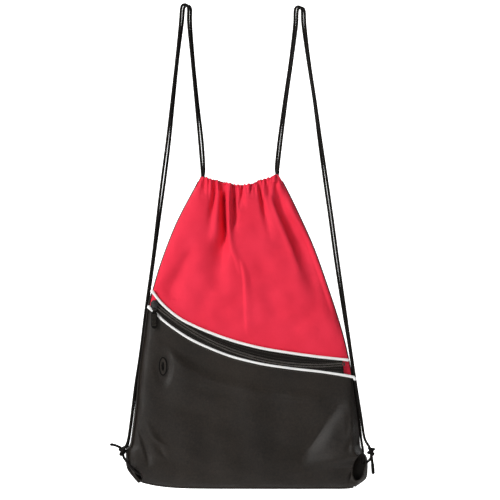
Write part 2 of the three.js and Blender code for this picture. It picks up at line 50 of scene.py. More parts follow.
CORD_RADIUS = 1.5
STRAND_Y = 1.8             # a strap's two strands lie this far before and behind its middle
CHANNEL_Y = 8.0            # the cords in the hem lie this far before and behind the bag's middle
LANE_Z = 2.1               # one cord in the hem lies this far above its line, the other below
LOOP_RADIUS = 4.9
CLOTH_THICKNESS = 0.5


# ---- small helpers
def place(points):
    """Millimetres from the bag's bottom edge to the frame's metres."""
    moved = np.array(points, float)
    moved[..., 2] -= STRAP_TOP
    return moved / 1000.0


def smoothstep(low, high, value):
    t = np.clip((value - low) / (high - low), 0.0, 1.0)
    return t * t * (3.0 - 2.0 * t)


def cos_sin(degrees):
    return math.cos(math.radians(degrees)), math.sin(math.radians(degrees))


def angles_round(count):
    return np.linspace(0, 2 * math.pi, count, endpoint=False)


def distance_along(path):
    """How far along the path each of its points is."""
    return np.concatenate([[0], np.cumsum(np.linalg.norm(np.diff(path, axis=0), axis=1))])


def curve_through(points, step):
    """A smooth line through the points, with a new point about every step of its length."""
    p = np.array(points, float)
    ends = [2 * p[0] - p[1], *p, 2 * p[-1] - p[-2]]
    fine = []
    for a, b, c, d in zip(ends[:-3], ends[1:-2], ends[2:-1], ends[3:]):
        spans = [max(np.linalg.norm(q - r) ** 0.5, 1e-6) for q, r in ((b, a), (c, b), (d, c))]
        m1 = (c - b) + spans[1] * ((b - a) / spans[0] - (c - a) / (spans[0] + spans[1]))
        m2 = (c - b) + spans[1] * ((d - c) / spans[2] - (d - b) / (spans[1] + spans[2]))
        for t in np.linspace(0, 1, 24, endpoint=False):
            fine.append((2 * t**3 - 3 * t**2 + 1) * b + (t**3 - 2 * t**2 + t) * m1
                        + (3 * t**2 - 2 * t**3) * c + (t**3 - t**2) * m2)
    fine = np.array([*fine, p[-1]])
    length = distance_along(fine)
    count = max(2, int(round(length[-1] / step)) + 1)
    stops = np.linspace(0, length[-1], count)
    return np.stack([np.interp(stops, length, fine[:, k]) for k in range(p.shape[1])], axis=1)


class Line:
    """A smooth X-Z line that gives x at a height, or height at an x."""

    def __init__(self, points):
        self.points = curve_through(points, 1.0)

    def x_at(self, z):
        return np.interp(z, self.points[:, 1], self.points[:, 0])

    def z_at(self, x):
        return np.interp(x, self.points[:, 0], self.points[:, 1])


def new_object(name, vertices, faces, material, uvs=None, smooth=True, body=BODY):
    mesh = bpy.data.meshes.new(name)
    mesh.from_pydata([tuple(v) for v in vertices], [], faces)
    mesh.update()
    if uvs is not None:
        layer = mesh.uv_layers.new(name="UVMap")
        corners = np.array([loop.vertex_index for loop in mesh.loops])
        layer.data.foreach_set("uv", np.array(uvs, float)[corners].ravel())
    if smooth:
        mesh.polygons.foreach_set("use_smooth", [True] * len(mesh.polygons))
    obj = bpy.data.objects.new(name, mesh)
    bpy.context.scene.collection.objects.link(obj)
    obj.data.materials.append(material)
    if body:
        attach(obj, body)
    return obj


def grid_faces(rows, columns, wrap=False):
    faces = []
    width = columns if wrap else columns - 1
    for r in range(rows - 1):
        for c in range(width):
            d = (c + 1) % columns
            faces.append((r * columns + c, r * columns + d, (r + 1) * columns + d, (r + 1) * columns + c))
    return faces


def sheet_uvs(points):
    """A grid's UVs: how far each point is along its row and its column."""
    across = np.cumsum(np.linalg.norm(np.diff(points, axis=1, prepend=points[:, :1]), axis=2), axis=1)
    up = np.cumsum(np.linalg.norm(np.diff(points, axis=0, prepend=points[:1]), axis=2), axis=0)
    return (np.stack([across, up], axis=2) / 1000.0).reshape(-1, 2)


def grid_object(name, points, material, wrap=False, body=BODY):
    """A sheet from a grid of points."""
    faces = grid_faces(*points.shape[:2], wrap)
    vertices = place(points).reshape(-1, 3)
    return new_object(name, vertices, faces, material, sheet_uvs(points), body=body)


def thicken(sheet):
    """Grow a sheet to a closed body, to both sides."""
    solid = sheet.modifiers.new("thickness", "SOLIDIFY")
    solid.thickness = CLOTH_THICKNESS / 1000.0
    solid.offset = 0.0


def frames_along(path):
    """Unit tangents, and two unit normals that turn as little as they can along the path."""
    tangent = np.gradient(path, axis=0)
    tangent /= np.linalg.norm(tangent, axis=1)[:, None]
    normal = np.zeros_like(tangent)
    start = np.cross(tangent[0], (0.0, 1.0, 0.0))
    if np.linalg.norm(start) < 0.1:
        start = np.cross(tangent[0], (1.0, 0.0, 0.0))
    normal[0] = start / np.linalg.norm(start)
    for i in range(1, len(path)):
        side = normal[i - 1] - tangent[i] * np.dot(normal[i - 1], tangent[i])
        normal[i] = side / np.linalg.norm(side)
    return tangent, normal, np.cross(tangent, normal)


def tube_mesh(path, radius, sides=10, relief=0.0, carriers=4, pitch=7.0):
    """Vertices, faces and UVs of a tube with blunt points for ends; relief raises a braid on it."""
    path = np.array(path, float)
    tangent, normal, binormal = frames_along(path)
    length = distance_along(path)
    angle = angles_round(sides)
    radius = np.broadcast_to(np.asarray(radius, float), (len(path),))
    twist = 2 * math.pi * length[:, None] / pitch
    braid = np.maximum(np.abs(np.sin(carriers * angle + twist)), np.abs(np.sin(carriers * angle - twist)))
    reach = radius[:, None] + relief * (braid - 0.8)
    ring = (normal[:, None, :] * np.cos(angle)[None, :, None]
            + binormal[:, None, :] * np.sin(angle)[None, :, None])
    points = path[:, None, :] + ring * reach[:, :, None]
    vertices = list(points.reshape(-1, 3))
    faces = grid_faces(len(path), sides, wrap=True)
    uvs = [(v / 1000.0, a / (2 * math.pi)) for v in length for a in angle]
    for end, way in ((0, -1.0), (len(path) - 1, 1.0)):
        tip = len(vertices)
        vertices.append(path[end] + tangent[end] * way * radius[end] * 0.6)
        uvs.append((length[end] / 1000.0, 0.5))
        for c in range(sides):
            a, b = end * sides + c, end * sides + (c + 1) % sides
            faces.append((a, tip, b) if way < 0 else (b, tip, a))
    return np.array(vertices), faces, uvs


def tube_object(name, path, radius, material, slot, **options):
    vertices, faces, uvs = tube_mesh(path, radius, **options)
    return new_object(name, place(vertices), faces, material, uvs)


def merged(name, pieces, material, body=BODY):
    """One object of many small meshes, each (vertices, faces, uvs)."""
    vertices, faces, uvs, start = [], [], [], 0
    for piece_vertices, piece_faces, piece_uvs in pieces:
        vertices.append(place(piece_vertices))
        faces += [tuple(i + start for i in f) for f in piece_faces]
        uvs += list(piece_uvs)
        start += len(piece_vertices)
    return new_object(name, np.concatenate(vertices), faces, material, uvs, body=body)


# ---- materials
class Nodes:
    """A short way to write a node tree."""

    def __init__(self, name):
        self.material = bpy.data.materials.new(name)
        self.material.use_nodes = True
        self.tree = self.material.node_tree
        self.shader = self.tree.nodes["Principled BSDF"]
        self.point = self.node("ShaderNodeTexCoord").outputs["Object"]
        uv = self.node("ShaderNodeTexCoord").outputs["UV"]
        split = self.node("ShaderNodeSeparateXYZ", {0: uv})
        self.u, self.v = split.outputs["X"], split.outputs["Y"]

    def node(self, kind, inputs=None, **settings):
        made = self.tree.nodes.new(kind)
        for key, value in settings.items():
            setattr(made, key, value)
        for key, value in (inputs or {}).items():
            if isinstance(value, bpy.types.NodeSocket):
                self.tree.links.new(value, made.inputs[key])
            else:
                made.inputs[key].default_value = value
        return made

    def math(self, operation, a, b=0.0):
        return self.node("ShaderNodeMath", {0: a, 1: b}, operation=operation).outputs[0]

    def wave(self, value, pitch):
        return self.math("SINE", self.math("MULTIPLY", value, 2 * math.pi / pitch))

    def noise(self, scale, detail=3.0):
        made = self.node("ShaderNodeTexNoise", {"Vector": self.point, "Scale": scale, "Detail": detail})
        return made.outputs["Fac"]

    def mix(self, a, b, share):
        """share of b and the rest of a."""
        return self.math("ADD", self.math("MULTIPLY", a, 1 - share), self.math("MULTIPLY", b, share))

    def ramp(self, value, dark, light, low=0.3, high=0.7):
        made = self.node("ShaderNodeValToRGB", {"Fac": value})
        for element, position, colour in zip(made.color_ramp.elements, (low, high), (dark, light)):
            element.position = position
            element.color = (*colour, 1.0)
        self.link(made.outputs["Color"], "Base Color")

    def link(self, value, socket):
        self.tree.links.new(value, self.shader.inputs[socket])

    def roughness(self, value, middle, spread):
        self.link(self.math("ADD", self.math("MULTIPLY", value, spread), middle - spread / 2), "Roughness")

    def bump(self, height, strength, distance):
        made = self.node("ShaderNodeBump", {"Height": height, "Strength": strength, "Distance": distance})
        self.link(made.outputs["Normal"], "Normal")

    def set(self, **values):
        for key, value in values.items():
            self.shader.inputs[key.replace("_", " ")].default_value = value


def cloth(name, light, dark, pitch, roughness=0.7, sheen=0.3, tint=(1, 1, 1), crumple=0.8, grain=0.35,
          gloss=0.3):
    """Plain woven cloth: threads over and under, small crumples, and uneven colour."""
    nodes = Nodes(name)
    fine = nodes.noise(420.0, 2.0)
    nodes.ramp(nodes.mix(nodes.noise(16.0, 4.0), fine, grain), dark, light, 0.32, 0.68)
    nodes.roughness(fine, roughness, 0.16)
    weave = nodes.math("MULTIPLY", nodes.wave(nodes.u, pitch), nodes.wave(nodes.v, pitch))
    wrinkles = nodes.math("MULTIPLY", nodes.noise(70.0, 5.0), crumple * 8)
    nodes.bump(nodes.math("ADD", weave, wrinkles), 0.45, 0.0001)
    nodes.set(Sheen_Weight=sheen, Sheen_Roughness=0.4, Sheen_Tint=(*tint, 1), Specular_IOR_Level=gloss)
    return nodes.material


def braid(name, light, dark):
    """Braided cord: two sets of yarns that cross, with a little fuzz."""
    nodes = Nodes(name)
    along = nodes.math("MULTIPLY", nodes.u, 2 * math.pi / 0.0035)
    around = nodes.math("MULTIPLY", nodes.v, 2 * math.pi * 4)
    one = nodes.math("ABSOLUTE", nodes.math("SINE", nodes.math("ADD", along, around)))
    two = nodes.math("ABSOLUTE", nodes.math("SINE", nodes.math("SUBTRACT", along, around)))
    tone = nodes.mix(nodes.math("MAXIMUM", one, two), nodes.noise(1500.0, 2.0), 0.3)
    nodes.ramp(tone, dark, light, 0.25, 0.95)
    nodes.roughness(tone, 0.65, 0.15)
    nodes.bump(tone, 0.6, 0.0002)
    nodes.set(Sheen_Weight=0.01, Sheen_Roughness=0.4, Specular_IOR_Level=0.1)
    return nodes.material


def herringbone(name, light, dark):
    """Woven zipper tape: diagonal ribs that turn about every 1.6 mm."""
    nodes = Nodes(name)
    zigzag = nodes.math("PINGPONG", nodes.v, 0.0016)
    ribs = nodes.wave(nodes.math("ADD", nodes.u, zigzag), 0.0009)
    fine = nodes.noise(600.0, 2.0)
    nodes.ramp(nodes.mix(nodes.mix(ribs, fine, 0.5), nodes.noise(30.0), 0.3), dark, light, 0.1, 0.8)
    nodes.roughness(fine, 0.72, 0.12)
    nodes.bump(ribs, 0.5, 0.00015)
    nodes.set(Sheen_Weight=0.03, Sheen_Roughness=0.4, Specular_IOR_Level=0.15)
    return nodes.material


def moulded(name, light, dark, roughness, metallic=0.0, coat=0.0, edge_highlight=None, gloss=0.5):
    """Moulded or lacquered material, fine grained; the optional edge colour is a painted highlight, lighter
    on its convex edges.
    """
    nodes = Nodes(name)
    grain = nodes.noise(500.0, 4.0)
    tone = grain
    if edge_highlight:
        # painted highlight: convex edges, found by their pointiness, are made lighter
        edge = nodes.node("ShaderNodeNewGeometry").outputs["Pointiness"]
        highlight_share = nodes.math("MULTIPLY", nodes.math("SUBTRACT", edge, 0.5), 4.0)
        tone = nodes.math("ADD", grain, nodes.math("MAXIMUM", highlight_share, 0.0))
    nodes.ramp(tone, dark, edge_highlight or light, 0.3, 0.95 if edge_highlight else 0.75)
    nodes.roughness(grain, roughness, 0.2)
    nodes.bump(grain, 0.25, 0.00008)
    nodes.set(Metallic=metallic, Coat_Weight=coat, Coat_Roughness=0.25, Specular_IOR_Level=gloss)
    return nodes.material


RED = cloth("red_cloth_look", (0.83, 0.032, 0.070), (0.76, 0.024, 0.055), 0.0009, sheen=0.03,
            tint=(1.0, 0.3, 0.35), grain=0.2, gloss=0.15)
BLACK = cloth("black_cloth_look", (0.020, 0.0142, 0.0098), (0.0062, 0.0042, 0.0029), 0.0011, roughness=0.47,
              sheen=0.02, tint=(1.0, 0.9, 0.8), crumple=1.3, grain=0.55)
WHITE = cloth("white_piping_look", (0.94, 0.94, 0.93), (0.88, 0.88, 0.87), 0.0008, sheen=0.1)
CORD = braid("cord_look", (0.009, 0.0075, 0.0065), (0.0015, 0.0012, 0.001))
TAPE = herringbone("zipper_tape_look", (0.012, 0.0095, 0.0075), (0.004, 0.003, 0.0025))
COIL = moulded("zipper_coil_look", (0.15, 0.135, 0.12), (0.08, 0.07, 0.062), 0.4)
# the slider's metal has a painted highlight on its convex edges
METAL = moulded("slider_metal_look", (0.02, 0.019, 0.018), (0.005, 0.0047, 0.0045), 0.34, metallic=0.3,
             coat=0.3, edge_highlight=(0.07, 0.068, 0.065))
RUBBER = moulded("rubber_look", (0.034, 0.027, 0.021), (0.016, 0.013, 0.010), 0.5, gloss=0.25)
DARK_RUBBER = moulded("dark_rubber_look", (0.008, 0.007, 0.006), (0.002, 0.0018, 0.0016), 0.6, gloss=0.08)
RED_THREAD = braid("red_thread_look", (0.72, 0.025, 0.05), (0.5, 0.015, 0.03))
BLACK_THREAD = braid("black_thread_look", (0.10, 0.09, 0.078), (0.04, 0.035, 0.03))


# ---- camera, light and floor
def camera():
    data = bpy.data.cameras.new("camera")
    data.sensor_width = 36.0
    plane = CAMERA_DISTANCE + FRONT_Y / 1000.0
    data.lens = data.sensor_width * plane / (FIELD / 1000.0)
    obj = bpy.data.objects.new("camera", data)
    obj.location = (-0.0007, -CAMERA_DISTANCE, (CAMERA_HEIGHT - STRAP_TOP) / 1000.0)
    obj.rotation_euler = (math.pi / 2, 0, 0)
    bpy.context.scene.collection.objects.link(obj)
    bpy.context.scene.camera = obj


def area_light(name, location, target, size, power, colour=(1, 1, 1)):
    data = bpy.data.lights.new(name, "AREA")
    data.shape = "RECTANGLE"
    data.size, data.size_y = size
    data.energy = power
    data.color = colour
    obj = bpy.data.objects.new(name, data)
    obj.location = location
    obj.rotation_euler = (Vector(target) - Vector(location)).to_track_quat("-Z", "Y").to_euler()
    bpy.context.scene.collection.objects.link(obj)


def stage():
    world = bpy.data.worlds.new("world")
    world.use_nodes = True
    world.node_tree.nodes["Background"].inputs["Color"].default_value = (1, 1, 1, 1)
    world.node_tree.nodes["Background"].inputs["Strength"].default_value = 0.06
    bpy.context.scene.world = world
    bpy.context.scene.view_settings.view_transform = "Standard"

    floor_z, wall_y, wall_top, bend, half, front = -0.95, 5.6, 10.0, 1.2, 18.0, -7.0
    curve = [(wall_y - bend + bend * math.sin(a), floor_z + bend - bend * math.cos(a))
             for a in np.linspace(0, math.pi / 2, 16)]
    profile = [(front, floor_z), *curve, (wall_y, wall_top)]
    vertices = [(x, y, z) for y, z in profile for x in (-half, half)]
    faces = [(2 * i, 2 * i + 1, 2 * i + 3, 2 * i + 2) for i in range(len(profile) - 1)]
    nodes = Nodes("stage_look")
    nodes.ramp(nodes.noise(3.0), (0.93, 0.93, 0.93), (0.96, 0.96, 0.96))
    nodes.set(Roughness=0.9, Specular_IOR_Level=0.1)
    nodes.shader.inputs["Emission Color"].default_value = (1, 1, 1, 1)
    depth = nodes.node("ShaderNodeSeparateXYZ", {0: nodes.point}).outputs["Y"]
    glow = nodes.node("ShaderNodeMapRange", {"Value": depth, "From Min": 0.5, "From Max": 2.6})
    nodes.link(glow.outputs["Result"], "Emission Strength")
    floor = new_object("floor", vertices, faces, nodes.material, body=None)

    middle = (0.0, 0.0, -0.42)
    area_light("key", (-2.2, -1.9, 1.0), middle, (0.7, 0.7), 90.0)
    area_light("fill", (2.0, -2.6, 0.2), middle, (1.6, 1.6), 10.0, (1.0, 0.99, 0.98))
    area_light("behind", (-2.2, 2.6, 1.2), middle, (1.6, 1.6), 60.0)


camera()
stage()


# ---- cords, on the CAD's routes
# Each strap's two strands lie beside these lines of [x, y, z, spread].
LEFT_OUTER_LEG = [
    [-174.3, -7.5, 72, 0.5], [-169, -7.5, 110, 0.5], [-164, -7.2, 150, 0.5], [-157.2, -7, 194, 0.6],
    [-148.4, -6.5, 262, 0.9], [-139.3, -6, 328, 1], [-130.7, -5, 396, 1.8], [-125, -4.4, 440, 2.2],
    [-117.9, -3.2, 496, 2], [-111.4, -2, 556, 1.5], [-105, -0.8, 616, 1.1], [-98.9, 0, 670, 1.9]]
LEFT_INNER_LEG = [
    [-87.4, 0, 670, 1.9], [-82.9, -0.8, 616, 1.3], [-77.1, -1, 556, 1.5], [-70.9, -1, 496, 2.2]]
RIGHT_OUTER_LEG = [
    [161.2, -7.5, 71, 2.6], [156.6, -7.5, 104, 1.7], [150.7, -7.3, 145, 1], [143.6, -7, 194, 0.8],
    [133.2, -6.5, 262, 1.6], [123.4, -6, 328, 2], [114.2, -5, 396, 2], [107.9, -4.4, 440, 2],
    [100, -3.2, 496, 1.6], [92, -2, 556, 1], [82.9, -0.8, 616, 1.2], [76.4, 0, 668, 1.9]]
RIGHT_INNER_LEG = [[64.9, 0, 668, 1.9], [58.6, -0.8, 616, 1.5], [50, -1, 556, 1.6], [42.1, -1, 496, 2]]
HEM_LINE = [[-56, 438.5], [-40, 434.5], [-24, 431.5], [-8, 429.7], [8, 432.5], [22, 438], [33, 442]]
LEFT_LOOP = (-92.4, 688.6, 0.7)
RIGHT_LOOP = (70.6, 685.6, -0.9)
LEFT_CORNER_PASS = [
    [-175.8, -2.6, 63], [-176.9, -1.2, 55], [-176.9, -3, 44], [-176.4, -6.8, 36], [-174, -8.3, 29.5],
    [-167, -8.4, 25], [-161.6, -9.5, 22.8], [-159.6, -13.5, 22.4], [-160.6, -18.2, 23.2],
    [-165, -20.6, 27], [-172, -19.2, 34], [-178.5, -14.5, 42], [-181.5, -10.4, 46.2], [-182.3, -9.4, 50.5]]
RIGHT_CORNER_PASS = [
    [159.8, -11.5, 62], [160.3, -17.3, 58], [160.3, -19.8, 51], [159.8, -17.5, 42.5], [159.8, -12, 37.8],
    [162, -8.7, 37], [166.5, -8.5, 38.5], [170.4, -8.7, 42], [172.2, -9, 45.6], [172.6, -9, 49.5]]
LEFT_KNOT = (-182.5, -9.0, 55.0)
RIGHT_KNOT = (172.6, -9.0, 54.0)


def strand(leg, side, flip=1):
    return [[x + flip * side * spread, y + side * STRAND_Y, z] for x, y, z, spread in leg]


def loop_top(loop, side, flip=1):
    x, z, lift = loop
    return [[x + flip * (side * 1.9 + LOOP_RADIUS * math.cos(a)), side * STRAND_Y,
             z - side * lift + LOOP_RADIUS * math.sin(a)] for a in np.radians([180, 135, 90, 45, 0])]


def lane(side, lift):
    return [[x, side * CHANNEL_Y, z + lift] for x, z in HEM_LINE]


def turn_round(end, lift, way):
    x, z = end
    return [[x + way * CHANNEL_Y * math.cos(a), CHANNEL_Y * math.sin(a), z + lift]
            for a in np.radians([-45, 0, 45])]


LEFT_ROUTE = [
    [-180.5, -9.2, 58.5], [-177.4, -9.4, 63.2], *strand(LEFT_OUTER_LEG, -1), *loop_top(LEFT_LOOP, -1),
    *strand(LEFT_INNER_LEG, -1), [-69.6, -7, 456], [-68.6, -8, 446.5], [-65.5, -8, 439.5],
    *lane(-1, -LANE_Z), *turn_round(HEM_LINE[-1], -LANE_Z, 1), *lane(1, -LANE_Z)[::-1],
    [-65.5, 8, 439.5], [-67.6, 8, 446.5], [-66.6, 7, 456], *strand(LEFT_INNER_LEG, 1)[::-1],
    *loop_top(LEFT_LOOP, 1)[::-1], *strand(LEFT_OUTER_LEG, 1)[::-1], *LEFT_CORNER_PASS]

RIGHT_ROUTE = [
    [171.5, -9.2, 57.5], [169, -9.4, 62], *strand(RIGHT_OUTER_LEG, -1, -1), *loop_top(RIGHT_LOOP, -1, -1),
    *strand(RIGHT_INNER_LEG, -1, -1), [39.6, -7, 458], [38.6, -8, 449.5], *lane(-1, LANE_Z)[::-1],
    *turn_round(HEM_LINE[0], LANE_Z, -1), *lane(1, LANE_Z), [37.4, 8, 449.5], [36.6, 7, 458],
    *strand(RIGHT_INNER_LEG, 1, -1)[::-1], *loop_top(RIGHT_LOOP, 1, -1)[::-1],
    *strand(RIGHT_OUTER_LEG, 1, -1)[::-1], *RIGHT_CORNER_PASS]


def knot_object(name, centre, size, start, node):
    """A tight stopper knot: cord wound round a core, and a stretch that crosses in front."""
    cx, cy, cz = centre
    rx, ry, rz = (s - CORD_RADIUS for s in size)
    t = np.linspace(0, 1, 90)
    turn = math.radians(start) + 2 * math.pi * 1.7 * t
    swell = 0.72 + 0.28 * np.sin(math.pi * np.clip(t * 1.1, 0, 1))
    wound = np.stack([cx + rx * swell * np.cos(turn), cy + ry * swell * np.sin(turn),
                      cz + rz * (1 - 2 * t) + 0.9 * np.cos(turn)], axis=1)
    way = 1 if math.cos(math.radians(start)) > 0 else -1
    crossing = ((0.7, 0, 1), (0.5, 0.9, 0.6), (0, 1 + 1.3 / ry, 0), (-0.6, 0.9, -0.6), (-0.4, 0, -1))
    across = curve_through([[cx + way * rx * a, cy - ry * b, cz + rz * c] for a, b, c in crossing], 0.6)
    core = curve_through([[cx, cy, cz + rz * c] for c in (0.9, 0, -0.9)], 0.5)
    full = rx * np.sqrt(np.clip(1.02 - np.linspace(-1, 1, len(core)) ** 2, 0.05, 1))
    pieces = [tube_mesh(wound, CORD_RADIUS + 0.2, sides=12, relief=0.3),
              tube_mesh(across, CORD_RADIUS + 0.3, sides=12, relief=0.3),
              tube_mesh(core, np.minimum(full, 3.6), sides=14, relief=0.6)]
    obj = merged(name, pieces, CORD)
    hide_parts(node)
    return obj


def cords():
    left_knot = knot_object("left_knot_tied", LEFT_KNOT, (6.5, 5.0, 7.3), 0, "left_knot")
    right_knot = knot_object("right_knot_tied", RIGHT_KNOT, (6.0, 5.0, 7.0), 180, "right_knot")

    line = curve_through([[-186, -9, 59.4], [-192, -9.4, 62.2], [-196, -9.8, 63.4], [-200, -10, 64]], 0.8)
    flare = np.interp(np.arange(len(line)), [0, len(line) * 0.65, len(line)], [2.0, 1.9, 2.3])
    left_tail = tube_object("left_tail_frayed", line, flare, CORD, "cord", relief=0.3)
    line = curve_through([[172.7, -10.5, 50], [173.6, -12, 42], [174.4, -12.2, 36], [174.6, -12.2, 34]], 0.8)
    right_tail = tube_object("right_tail", line, CORD_RADIUS + 0.6, CORD, "cord", relief=0.25)
    line = curve_through([[174.4, -12.2, 36.2], [175.4, -12.2, 22.8]], 0.8)
    tip = tube_object("right_tip", line, CORD_RADIUS + 0.95, DARK_RUBBER, "rubber", sides=14)
    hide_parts("left_cord_tail")
    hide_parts("right_cord_tail")
    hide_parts("right_cord_tip")

    for side, route, pieces in (("left", LEFT_ROUTE, [left_knot, left_tail]),
                                ("right", RIGHT_ROUTE, [right_knot, right_tail, tip])):
        path = curve_through(route, 1.3)
        obj = tube_object(f"{side}_strap_cord", path, CORD_RADIUS + 0.4, CORD, "cord", relief=0.22)
        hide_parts(f"{side}_cord")
        tuple(place(path[-1]))
        [tuple(p) for p in place(path)]


cords()


# ---- the bag's outlines
LEFT_EDGE = Line([
    [-141, 1.5], [-156.5, 9], [-162.5, 15], [-174, 31], [-173.5, 40], [-175, 48], [-174.2, 56],
    [-171, 60], [-169, 65], [-165, 93], [-161, 128], [-158.3, 165], [-151.8, 213], [-144.6, 263],
    [-139.6, 285], [-126.5, 328], [-106.5, 379], [-89.3, 413], [-79.5, 431], [-71.5, 447]])
RIGHT_EDGE = Line([
    [146, 1.5], [157, 9], [165, 16], [167, 28], [165.5, 46], [160.5, 52], [157, 60], [154.3, 89],
    [149.2, 131], [143.6, 170], [133.6, 216], [123.6, 250], [109.3, 293], [90.7, 345], [67.9, 396],
    [50.7, 431], [39.5, 451]])
TOP_EDGE = Line([
    [-71.5, 447], [-63, 446.5], [-57.3, 443.6], [-48, 442], [-40, 440.4], [-30, 438], [-22, 436],
    [-8, 435.4], [0, 436.9], [7, 439.5], [14, 443], [27, 446], [33, 449.5], [39.5, 451]])
BOTTOM_EDGE = Line([
    [-160, 11], [-153, 8.4], [-146, 6.6], [-135, 4.4], [-118, 2.2], [-98, 0.9], [-72, 0.3], [0, 0],
    [100, 0], [140, 0.5], [150, 2.5], [160, 9]])
UPPER_PIPING = [
    [-141.4, 284.5], [-126.6, 265.7], [-104, 246.4], [-81, 233.9], [-35, 215.6], [10, 203.1], [56, 195.1],
    [101, 189], [140, 184.9]]
LOWER_PIPING = [
    [-145.8, 261.4], [-142, 257.2], [-134.6, 251.4], [-126.6, 243], [-104, 225.9], [-81, 212.1],
    [-35, 192.4], [10, 180.3], [56, 173], [101, 167.9], [144, 160.8]]
UPPER_LINE = Line(UPPER_PIPING)
LOWER_LINE = Line(LOWER_PIPING)
PIPING_RADIUS = 1.8
PIPING_Y = -14.9
SEAM_Y = -8.0
ROLL_Y = -6.2              # the middle of the rolled side seams
HEM_FACE_Y = -10.4         # the outside of the front's hem tunnel is at least this far out
HEM_DEPTH = 3.6            # from the cords in the hem to their tunnel's inner side
HEM_DROP = 8.0             # how far a tunnel's inner side hangs down
HEM_LEFT, HEM_RIGHT = -74.0, 44.0
GATHER_REACH = 26.0        # about how far down from the top edge the gathers reach
FRONT_SEED, BACK_SEED = 3, 17
POCKET_Y = -16.3           # the pocket's face beside the zipper and round the port
RIGHT_OPENING = (154.8, 31.8, 8.6, 19.2, -10.0)       # x, z, half width, half height, turn in degrees
LEFT_OPENING = (-160.7, 21.4, 11.2, 3.0, -60.0)
PORT_CUT = (-125.0, 176.0, 5.2, 10.7, 0.0)


def grown(oval, by):
    x, z, a, b, turn = oval
    return x, z, a + by, b + by, turn


def oval_share(x, z, oval):
    """Each point's distance from the oval's middle, as a share of the way to its rim."""
    cx, cz, a, b, turn = oval
    c, s = cos_sin(turn)
    u, v = (x - cx) * c + (z - cz) * s, -(x - cx) * s + (z - cz) * c
    return np.sqrt((u / a) ** 2 + (v / b) ** 2)


def oval_line(oval, count=72):
    cx, cz, a, b, turn = oval
    c, s = cos_sin(turn)
    angle = angles_round(count)
    u, v = a * np.cos(angle), b * np.sin(angle)
    return np.stack([cx + u * c - v * s, cz + u * s + v * c], axis=1)


# A fold is a valley (or, with a negative depth, a ridge) along a line of
# [x, z, depth, width to the left, width to the right], from its upper end down.
# Where the last number is left out, both widths are the same.
FRONT_FOLDS = [
    [[-37, 430, 6, 3, 2], [-36.8, 418, 16, 5, 1.8], [-35.8, 392, 20, 7, 1.6], [-35, 368, 17, 9, 2.2],
     [-40, 340, 11, 14, 7], [-46, 305, 5, 16, 13], [-48, 268, 0, 16]],
    [[-31, 436, -3, 2.2, 2.6], [-31, 410, -5, 2.2, 3], [-30.5, 375, -4, 2.4, 5], [-29, 350, -2.5, 3, 6],
     [-20, 328, -1.5, 3, 6], [-14, 306, 0, 3, 6]],
    [[-23.8, 434, 6, 2.2], [-23.6, 410, 9, 2.2, 3.2], [-24, 390, 6, 2.4, 5], [-24.5, 366, 0, 3, 6]],
    [[-50.5, 441, 6, 2.6, 2.2], [-51.5, 425, 8, 3.4, 2.4], [-53.5, 405, 6.5, 5, 3], [-57, 380, 3, 7, 5],
     [-62, 350, 0, 9, 8]],
    [[-66, 445, 3, 2.4], [-66.5, 434, 3, 3], [-68, 420, 0, 4]],
    [[-41, 439, 4, 2.2], [-40.5, 428, 3.5, 2.4], [-40, 416, 0, 3]],
    [[-10.5, 435, 4, 2.6], [-10.7, 418, 4, 3.2], [-10.5, 398, 0, 5]],
    [[1.5, 437, 3.5, 2.2], [1, 426, 2.6, 2.8], [0.5, 414, 0, 4]],
    [[11, 441, 6, 2.4, 2.2], [14.5, 422, 8, 2.8, 2.6], [19.5, 400, 6, 4], [25, 376, 2.5, 6],
     [29, 350, 0, 7]],
    [[23, 445, 3.5, 2.4], [25, 432, 3, 3], [28, 414, 0, 5]],
    [[36, 432, 3, 4, 3], [44, 408, 8, 8, 7], [53, 386, 11, 10], [65, 362, 12, 12, 13],
     [79, 329, 10, 14, 16], [91, 292, 5, 14, 18], [101, 252, 0, 16, 20]],
    [[28, 424, 0, 4, 3], [34, 404, -3, 5, 3], [42, 385, -3.4, 6, 3], [50, 366, -3.4, 6, 3.4],
     [64, 329, -2.4, 7, 4], [74, 295, 0, 9, 6]],
    [[-80, 352, 0, 8, 10], [-95, 322, 4, 10, 12], [-108, 295, 5.5, 12, 14], [-116, 272, 2, 12, 14]],
    [[-14, 332, 0, 2.4, 4], [-8.5, 305, -2.4, 2.4, 6], [-6.5, 275, -2.6, 2.6, 8], [-5, 240, -1.6, 3, 9],
     [-3, 212, 0, 3, 9]],
    [[98, 330, 0, 4], [104, 300, 1.6, 6, 4], [112, 265, 2.2, 8, 5], [120, 225, 0, 8, 6]],
    [[-60, 300, 0, 10], [-64, 265, 1.8, 12], [-72, 240, 0, 12]],
    [[20, 330, 0, 12], [30, 280, 2.0, 16], [44, 230, 1.0, 18], [50, 205, 0, 18]],
]
